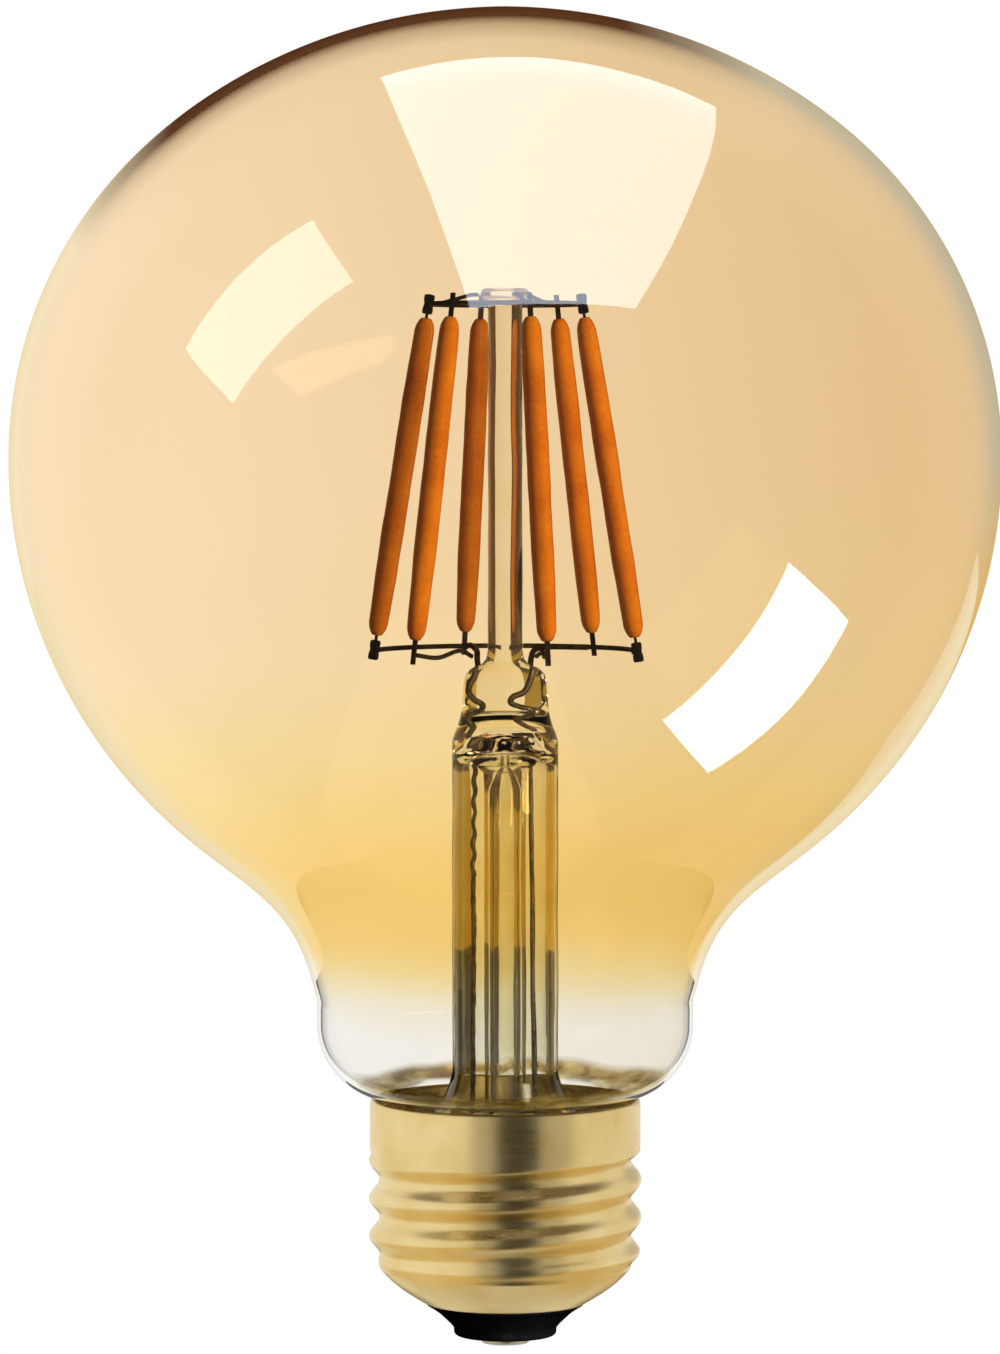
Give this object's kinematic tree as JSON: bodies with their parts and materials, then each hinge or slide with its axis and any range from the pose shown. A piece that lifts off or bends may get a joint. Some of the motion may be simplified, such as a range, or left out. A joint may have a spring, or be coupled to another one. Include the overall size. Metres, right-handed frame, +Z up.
{
  "type": "smart light bulb",
  "caption": "Large amber glass globe filament lamp on a brass screw cap, with a tapered cage of slim phosphor rods on a glass stem.",
  "frame": {"origin": "centre of the centre contact's outer face, at the foot of the screw cap", "axes": "+Z up the bulb's axis from the cap to the crown of the globe; -Y towards the viewer"},
  "size_m": [0.095, 0.095, 0.1286],
  "materials": {
    "amber_glass": "clear gloss, amber lacquer fading to clear at the neck",
    "stem_glass": "clear gloss",
    "phosphor": "smooth satin silicone",
    "strip_glass": "clear",
    "led_chip": "satin",
    "nickel_wire": "dull drawn wire",
    "tab_steel": "oxidised strip",
    "dark_crimp": "dark crimped",
    "cap_brass": "polished rolled brass",
    "contact_brass": "satin",
    "black_glass": "opaque black gloss",
    "cement": "matt basing cement",
    "solder": "satin solder",
    "board": "solder-masked laminate",
    "black_package": "moulded package",
    "capacitor_sleeve": "shrink sleeve",
    "ferrite": "matt ferrite",
    "resistor_coat": "painted",
    "shield_tin": "bright tinned sheet",
    "wire_red": "insulated",
    "wire_black": "insulated"
  },
  "bodies": {
    "root": {"antenna_wire": "nickel_wire", "basing_cement": "cement", "branch_wire_left": "nickel_wire", "branch_wire_right": "nickel_wire", "bridge_rectifier": "black_package", "centre_contact": "contact_brass", "contact_solder": "solder", "driver_board": "board", "driver_ic": "black_package", "exhaust_tube": "stem_glass", "filament_sleeve_1": "phosphor", "filament_sleeve_2": "phosphor", "filament_sleeve_3": "phosphor", "filament_sleeve_4": "phosphor", "filament_sleeve_5": "phosphor", "filament_sleeve_6": "phosphor", "filament_strip_1": "strip_glass", "filament_strip_2": "strip_glass", "filament_strip_3": "strip_glass", "filament_strip_4": "strip_glass", "filament_strip_5": "strip_glass", "filament_strip_6": "strip_glass", "filament_tabs_1": "tab_steel", "filament_tabs_2": "tab_steel", "filament_tabs_3": "tab_steel", "filament_tabs_4": "tab_steel", "filament_tabs_5": "tab_steel", "filament_tabs_6": "tab_steel", "fusible_resistor": "resistor_coat", "globe_envelope": "amber_glass", "inductor": "ferrite", "inner_lead_left": "nickel_wire", "inner_lead_right": "nickel_wire", "insulator": "black_glass", "led_chips_1": "led_chip", "led_chips_2": "led_chip", "led_chips_3": "led_chip", "led_chips_4": "led_chip", "led_chips_5": "led_chip", "led_chips_6": "led_chip", "live_wire": "wire_red", "lower_bus_left": "nickel_wire", "lower_bus_right": "nickel_wire", "lower_crimps": "dark_crimp", "neutral_wire": "wire_black", "outer_lead_left": "nickel_wire", "outer_lead_right": "nickel_wire", "rod_button": "stem_glass", "screw_shell": "cap_brass", "shell_solder": "solder", "smoothing_capacitor": "capacitor_sleeve", "stem_flare_tube": "stem_glass", "stem_pinch": "stem_glass", "support_rod": "stem_glass", "top_ring_wire": "nickel_wire", "top_spoke_wires": "nickel_wire", "upper_crimps": "dark_crimp", "wireless_board": "board", "wireless_shield": "shield_tin"}
  },
  "joints": []
}
